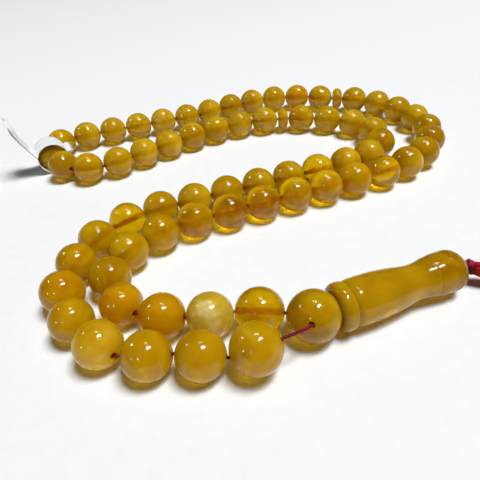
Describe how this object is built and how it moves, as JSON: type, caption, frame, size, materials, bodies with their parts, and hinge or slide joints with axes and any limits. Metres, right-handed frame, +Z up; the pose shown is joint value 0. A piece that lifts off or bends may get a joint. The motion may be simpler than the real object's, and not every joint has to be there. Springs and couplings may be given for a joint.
{
  "type": "misbaha prayer beads",
  "caption": "Amber prayer beads on one loop of thread, folded in two lanes, with dividers, a turned imame, a silk tassel and a blank paper label.",
  "frame": {"origin": "on the surface that the object lies on, under the middle of its bounding box", "axes": "+Z up; +X along the object's greater extent, from the paper label towards the tassel; +Y from the imame towards the far lanes"},
  "size_m": [0.2191, 0.1771, 0.024],
  "materials": {
    "amber": "polished cloudy amber resin",
    "thread": "twisted waxed thread",
    "tassel_silk": "silk strands",
    "paper": "smooth white paper"
  },
  "bodies": {
    "string": {"thread": "thread", "imame_head": "amber", "knot": "thread"},
    "bead_01": {"bead_01": "amber"},
    "bead_02": {"bead_02": "amber"},
    "bead_03": {"bead_03": "amber"},
    "bead_04": {"bead_04": "amber"},
    "bead_05": {"bead_05": "amber"},
    "bead_06": {"bead_06": "amber"},
    "bead_07": {"bead_07": "amber"},
    "beads_08_to_14": {"beads_08_to_14": "amber"},
    "bead_15": {"bead_15": "amber"},
    "bead_16": {"bead_16": "amber"},
    "bead_17": {"bead_17": "amber"},
    "bead_18": {"bead_18": "amber"},
    "bead_19": {"bead_19": "amber"},
    "bead_20": {"bead_20": "amber"},
    "bead_21": {"bead_21": "amber"},
    "bead_22": {"bead_22": "amber"},
    "divider_1": {"divider_1": "amber"},
    "bead_23": {"bead_23": "amber"},
    "bead_24": {"bead_24": "amber"},
    "bead_25": {"bead_25": "amber"},
    "bead_26": {"bead_26": "amber"},
    "bead_27": {"bead_27": "amber"},
    "bead_28": {"bead_28": "amber"},
    "beads_29_to_32": {"beads_29_to_32": "amber"},
    "bead_33": {"bead_33": "amber"},
    "bead_34": {"bead_34": "amber"},
    "bead_35": {"bead_35": "amber"},
    "bead_36": {"bead_36": "amber"},
    "bead_37": {"bead_37": "amber"},
    "beads_38_to_40": {"beads_38_to_40": "amber"},
    "bead_41": {"bead_41": "amber"},
    "bead_42": {"bead_42": "amber"},
    "bead_43": {"bead_43": "amber"},
    "bead_44": {"bead_44": "amber"},
    "divider_2": {"divider_2": "amber"},
    "bead_45": {"bead_45": "amber"},
    "bead_46": {"bead_46": "amber"},
    "bead_47": {"bead_47": "amber"},
    "bead_48": {"bead_48": "amber"},
    "bead_49": {"bead_49": "amber"},
    "bead_50": {"bead_50": "amber"},
    "beads_51_to_57": {"beads_51_to_57": "amber"},
    "bead_58": {"bead_58": "amber"},
    "bead_59": {"bead_59": "amber"},
    "bead_60": {"bead_60": "amber"},
    "bead_61": {"bead_61": "amber"},
    "bead_62": {"bead_62": "amber"},
    "bead_63": {"bead_63": "amber"},
    "bead_64": {"bead_64": "amber"},
    "bead_65": {"bead_65": "amber"},
    "bead_66": {"bead_66": "amber"},
    "imame_collar": {"imame_collar": "amber"},
    "imame_minaret": {"imame_minaret": "amber"},
    "tassel": {"tassel_skirt": "tassel_silk", "tassel_binding": "thread"},
    "paper_label": {"paper_label": "paper"}
  },
  "joints": [
    {"name": "bead_66_slide", "type": "slide", "parent": "string", "child": "bead_66", "axis": [0.9259, 0.0485, 0.3746], "range_m": [0, 0.0025]},
    {"name": "spin_imame_collar", "type": "hinge", "parent": "string", "child": "imame_collar", "pos_m": [0.0059, -0.07129, 0.0066], "axis": [0.9454, 0.3255, -0.014], "continuous": true},
    {"name": "spin_imame_minaret", "type": "hinge", "parent": "string", "child": "imame_minaret", "pos_m": [0.02386, -0.06511, 0.00633], "axis": [0.9454, 0.3255, -0.014], "continuous": true},
    {"name": "knot_tassel_swing", "type": "hinge", "parent": "string", "child": "tassel", "pos_m": [0.04286, -0.05856, 0.00605], "axis": [0, 0, 1], "range_deg": [-45, 60]},
    {"name": "label_swing", "type": "hinge", "parent": "string", "child": "paper_label", "pos_m": [-0.09593, 0.03056, 0.0064], "axis": [0.4541, -0.8909, 0], "range_deg": [-40, 55]},
    {"name": "spin_bead_01", "type": "hinge", "parent": "string", "child": "bead_01", "pos_m": [-0.0139, -0.0704, 0.00625], "axis": [-0.984, 0.1729, -0.0425], "continuous": true},
    {"name": "spin_bead_02", "type": "hinge", "parent": "string", "child": "bead_02", "pos_m": [-0.02623, -0.0703, 0.006], "axis": [-0.9934, -0.113, 0.0203], "continuous": true},
    {"name": "spin_bead_03", "type": "hinge", "parent": "string", "child": "bead_03", "pos_m": [-0.03828, -0.06944, 0.006], "axis": [-0.9751, 0.2187, -0.0365], "continuous": true},
    {"name": "spin_bead_04", "type": "hinge", "parent": "string", "child": "bead_04", "pos_m": [-0.04942, -0.06392, 0.00575], "axis": [-0.7367, 0.6762, 0.0087], "continuous": true},
    {"name": "spin_bead_05", "type": "hinge", "parent": "string", "child": "bead_05", "pos_m": [-0.05437, -0.05318, 0.006], "axis": [-0.058, 0.998, 0.0242], "continuous": true},
    {"name": "spin_bead_06", "type": "hinge", "parent": "string", "child": "bead_06", "pos_m": [-0.05101, -0.04158, 0.006], "axis": [0.5852, 0.8107, -0.0175], "continuous": true},
    {"name": "spin_bead_07", "type": "hinge", "parent": "string", "child": "bead_07", "pos_m": [-0.04232, -0.03319, 0.006], "axis": [0.819, 0.5736, 0.0131], "continuous": true},
    {"name": "spin_beads_08_to_14", "type": "hinge", "parent": "string", "child": "beads_08_to_14", "pos_m": [-0.03161, -0.02761, 0.006], "axis": [0.9479, 0.3187, 0], "continuous": true},
    {"name": "spin_bead_15", "type": "hinge", "parent": "string", "child": "bead_15", "pos_m": [0.04766, 0.00123, 0.006], "axis": [0.8008, 0.5989, 0], "continuous": true},
    {"name": "spin_bead_16", "type": "hinge", "parent": "string", "child": "bead_16", "pos_m": [0.05691, 0.009, 0.006], "axis": [0.6954, 0.7186, 0], "continuous": true},
    {"name": "spin_bead_17", "type": "hinge", "parent": "string", "child": "bead_17", "pos_m": [0.06334, 0.01923, 0.006], "axis": [0.361, 0.9326, 0], "continuous": true},
    {"name": "spin_bead_18", "type": "hinge", "parent": "string", "child": "bead_18", "pos_m": [0.0666, 0.03086, 0.006], "axis": [0.1469, 0.9891, 0], "continuous": true},
    {"name": "spin_bead_19", "type": "hinge", "parent": "string", "child": "bead_19", "pos_m": [0.0658, 0.04292, 0.006], "axis": [-0.2674, 0.9636, 0], "continuous": true},
    {"name": "spin_bead_20", "type": "hinge", "parent": "string", "child": "bead_20", "pos_m": [0.06162, 0.05425, 0.006], "axis": [-0.4375, 0.8992, 0], "continuous": true},
    {"name": "spin_bead_21", "type": "hinge", "parent": "string", "child": "bead_21", "pos_m": [0.05484, 0.06425, 0.006], "axis": [-0.6648, 0.747, 0], "continuous": true},
    {"name": "spin_bead_22", "type": "hinge", "parent": "string", "child": "bead_22", "pos_m": [0.04543, 0.07182, 0.006], "axis": [-0.8757, 0.4828, 0], "continuous": true},
    {"name": "spin_divider_1", "type": "hinge", "parent": "string", "child": "divider_1", "pos_m": [0.03745, 0.07516, 0.006], "axis": [-0.9902, 0.1399, 0], "continuous": true},
    {"name": "spin_bead_23", "type": "hinge", "parent": "string", "child": "bead_23", "pos_m": [0.02926, 0.07795, 0.006], "axis": [-0.9155, 0.4023, 0], "continuous": true},
    {"name": "spin_bead_24", "type": "hinge", "parent": "string", "child": "bead_24", "pos_m": [0.01776, 0.08165, 0.006], "axis": [-0.9815, 0.1914, 0], "continuous": true},
    {"name": "spin_bead_25", "type": "hinge", "parent": "string", "child": "bead_25", "pos_m": [0.00569, 0.08191, 0.006], "axis": [-0.9903, -0.1388, 0], "continuous": true},
    {"name": "spin_bead_26", "type": "hinge", "parent": "string", "child": "bead_26", "pos_m": [-0.00607, 0.07915, 0.006], "axis": [-0.9424, -0.3346, 0], "continuous": true},
    {"name": "spin_bead_27", "type": "hinge", "parent": "string", "child": "bead_27", "pos_m": [-0.01728, 0.07464, 0.006], "axis": [-0.9272, -0.3744, 0], "continuous": true},
    {"name": "spin_bead_28", "type": "hinge", "parent": "string", "child": "bead_28", "pos_m": [-0.02813, 0.06934, 0.006], "axis": [-0.8507, -0.5256, 0], "continuous": true},
    {"name": "spin_beads_29_to_32", "type": "hinge", "parent": "string", "child": "beads_29_to_32", "pos_m": [-0.03909, 0.06425, 0.006], "axis": [-0.9573, -0.2891, 0], "continuous": true},
    {"name": "spin_bead_33", "type": "hinge", "parent": "string", "child": "bead_33", "pos_m": [-0.0853, 0.05022, 0.006], "axis": [-0.9757, -0.2186, -0.0131], "continuous": true},
    {"name": "spin_bead_34", "type": "hinge", "parent": "string", "child": "bead_34", "pos_m": [-0.09543, 0.04363, 0.006], "axis": [-0.5574, -0.8298, 0.0266], "continuous": true},
    {"name": "spin_bead_35", "type": "hinge", "parent": "string", "child": "bead_35", "pos_m": [-0.09593, 0.03056, 0.0064], "axis": [0.4541, -0.8909, 0], "continuous": true},
    {"name": "spin_bead_36", "type": "hinge", "parent": "string", "child": "bead_36", "pos_m": [-0.0881, 0.02008, 0.006], "axis": [0.7495, -0.6617, -0.0209], "continuous": true},
    {"name": "spin_bead_37", "type": "hinge", "parent": "string", "child": "bead_37", "pos_m": [-0.07673, 0.016, 0.006], "axis": [0.9994, 0.0329, 0.0131], "continuous": true},
    {"name": "spin_beads_38_to_40", "type": "hinge", "parent": "string", "child": "beads_38_to_40", "pos_m": [-0.06528, 0.01984, 0.006], "axis": [0.8202, 0.5721, 0], "continuous": true},
    {"name": "spin_bead_41", "type": "hinge", "parent": "string", "child": "bead_41", "pos_m": [-0.03547, 0.04042, 0.006], "axis": [0.8402, 0.5422, 0], "continuous": true},
    {"name": "spin_bead_42", "type": "hinge", "parent": "string", "child": "bead_42", "pos_m": [-0.02491, 0.0463, 0.006], "axis": [0.9027, 0.4303, 0], "continuous": true},
    {"name": "spin_bead_43", "type": "hinge", "parent": "string", "child": "bead_43", "pos_m": [-0.0137, 0.0508, 0.006], "axis": [0.9508, 0.3097, 0], "continuous": true},
    {"name": "spin_bead_44", "type": "hinge", "parent": "string", "child": "bead_44", "pos_m": [-0.00181, 0.05294, 0.006], "axis": [0.999, 0.0438, 0], "continuous": true},
    {"name": "spin_divider_2", "type": "hinge", "parent": "string", "child": "divider_2", "pos_m": [0.00683, 0.05305, 0.006], "axis": [0.9993, -0.0363, 0], "continuous": true},
    {"name": "spin_bead_45", "type": "hinge", "parent": "string", "child": "bead_45", "pos_m": [0.01542, 0.05201, 0.006], "axis": [0.9871, -0.1599, 0], "continuous": true},
    {"name": "spin_bead_46", "type": "hinge", "parent": "string", "child": "bead_46", "pos_m": [0.02698, 0.04851, 0.006], "axis": [0.91, -0.4147, 0], "continuous": true},
    {"name": "spin_bead_47", "type": "hinge", "parent": "string", "child": "bead_47", "pos_m": [0.0371, 0.04191, 0.006], "axis": [0.745, -0.6671, 0], "continuous": true},
    {"name": "spin_bead_48", "type": "hinge", "parent": "string", "child": "bead_48", "pos_m": [0.04358, 0.03171, 0.006], "axis": [0.2845, -0.9587, 0], "continuous": true},
    {"name": "spin_bead_49", "type": "hinge", "parent": "string", "child": "bead_49", "pos_m": [0.04287, 0.01965, 0.006], "axis": [-0.3959, -0.9183, 0], "continuous": true},
    {"name": "spin_bead_50", "type": "hinge", "parent": "string", "child": "bead_50", "pos_m": [0.03555, 0.01004, 0.006], "axis": [-0.775, -0.6319, 0], "continuous": true},
    {"name": "spin_beads_51_to_57", "type": "hinge", "parent": "string", "child": "beads_51_to_57", "pos_m": [0.025, 0.00416, 0.006], "axis": [-0.9478, -0.3188, 0], "continuous": true},
    {"name": "spin_bead_58", "type": "hinge", "parent": "string", "child": "bead_58", "pos_m": [-0.05398, -0.02515, 0.006], "axis": [-0.7654, -0.6434, 0.0131], "continuous": true},
    {"name": "spin_bead_59", "type": "hinge", "parent": "string", "child": "bead_59", "pos_m": [-0.06191, -0.03426, 0.006], "axis": [-0.478, -0.8782, -0.0175], "continuous": true},
    {"name": "spin_bead_60", "type": "hinge", "parent": "string", "child": "bead_60", "pos_m": [-0.06556, -0.04578, 0.006], "axis": [-0.1796, -0.9831, 0.0349], "continuous": true},
    {"name": "spin_bead_61", "type": "hinge", "parent": "string", "child": "bead_61", "pos_m": [-0.06643, -0.05782, 0.006], "axis": [0.1061, -0.9937, -0.037], "continuous": true},
    {"name": "spin_bead_62", "type": "hinge", "parent": "string", "child": "bead_62", "pos_m": [-0.06122, -0.06845, 0.00575], "axis": [0.7101, -0.7039, 0.0175], "continuous": true},
    {"name": "spin_bead_63", "type": "hinge", "parent": "string", "child": "bead_63", "pos_m": [-0.05256, -0.07708, 0.006], "axis": [0.7603, -0.6494, -0.0116], "continuous": true},
    {"name": "spin_bead_64", "type": "hinge", "parent": "string", "child": "bead_64", "pos_m": [-0.04056, -0.08149, 0.006], "axis": [0.9987, -0.0148, 0.0479], "continuous": true},
    {"name": "spin_bead_65", "type": "hinge", "parent": "string", "child": "bead_65", "pos_m": [-0.02823, -0.08251, 0.006], "axis": [0.9859, -0.13, -0.1056], "continuous": true}
  ]
}
